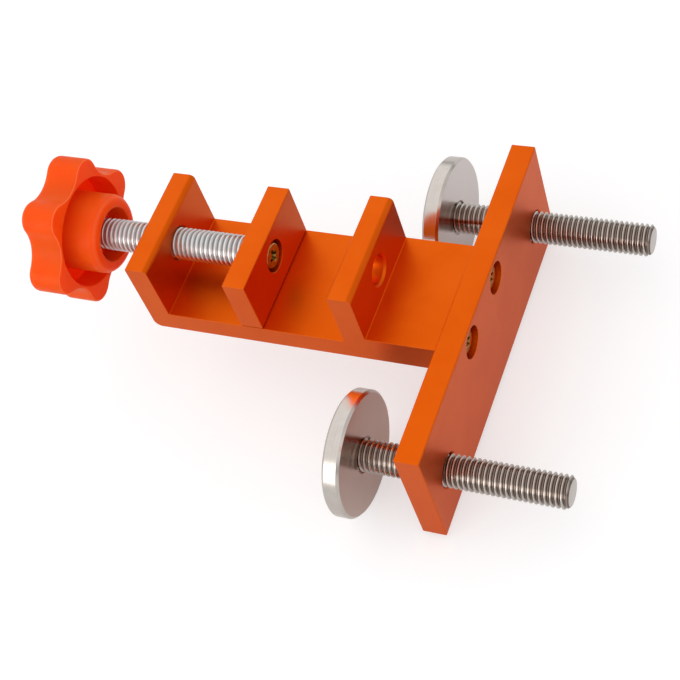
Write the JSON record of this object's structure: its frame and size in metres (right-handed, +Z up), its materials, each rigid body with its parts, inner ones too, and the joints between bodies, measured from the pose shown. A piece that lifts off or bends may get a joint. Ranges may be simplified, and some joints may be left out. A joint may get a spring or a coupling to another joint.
{
  "type": "cabinet door mounting jig",
  "caption": "Screw clamp with a star knob and sliding jaw that grips a cabinet rail and carries a cross plate with screw-adjusted round feet to set a door's height.",
  "frame": {"origin": "where the spindle's axis meets the fixed wall's clamping face", "axes": "+X along the spindle from the knob to the cross plate, +Y along the cross plate, +Z up the clamp's walls"},
  "size_m": [0.1389, 0.1002, 0.0552],
  "materials": {
    "anodised": "orange anodised, satin",
    "yellow_zinc": "yellow zinc plated",
    "bright_zinc": "bright zinc plated",
    "knob_plastic": "satin moulded plastic",
    "insert_brass": "turned",
    "stainless": "polished stainless steel"
  },
  "bodies": {
    "frame": {"clamp_body": "anodised", "cross_plate": "anodised", "plate_screw_near": "yellow_zinc", "plate_screw_far": "yellow_zinc"},
    "jaw": {"movable_jaw": "anodised"},
    "spindle": {"spindle": "bright_zinc", "jaw_screw": "yellow_zinc", "jaw_washer": "bright_zinc", "knob": "knob_plastic", "knob_insert": "insert_brass"},
    "near_foot": {"near_disc": "stainless"},
    "near_foot_screw": {"near_stud": "stainless"},
    "far_foot": {"far_disc": "stainless"},
    "far_foot_screw": {"far_stud": "stainless"}
  },
  "joints": [
    {"name": "jaw_slide", "type": "slide", "parent": "frame", "child": "jaw", "axis": [1, 0, 0], "range_m": [-0.0194, 0.0122]},
    {"name": "spindle_turn", "type": "hinge", "parent": "jaw", "child": "spindle", "pos_m": [-0.05, 0, 0], "axis": [1, 0, 0], "range_deg": [-5590, 3520]},
    {"name": "near_foot_slide", "type": "slide", "parent": "frame", "child": "near_foot", "axis": [1, 0, 0], "range_m": [-0.0276, 0.0141]},
    {"name": "near_foot_turn", "type": "hinge", "parent": "near_foot", "child": "near_foot_screw", "pos_m": [0.03, -0.0351, -0.02345], "axis": [1, 0, 0], "range_deg": [-7960, 4070]},
    {"name": "far_foot_slide", "type": "slide", "parent": "frame", "child": "far_foot", "axis": [1, 0, 0], "range_m": [-0.0282, 0.0135]},
    {"name": "far_foot_turn", "type": "hinge", "parent": "far_foot", "child": "far_foot_screw", "pos_m": [0.03, 0.0351, -0.02345], "axis": [1, 0, 0], "range_deg": [-8130, 3900]}
  ],
  "couplings": [
    {"joint": "spindle_turn", "follows": "jaw_slide", "rad_per_m": 5026.5},
    {"joint": "near_foot_turn", "follows": "near_foot_slide", "rad_per_m": 5026.5},
    {"joint": "far_foot_turn", "follows": "far_foot_slide", "rad_per_m": 5026.5}
  ]
}
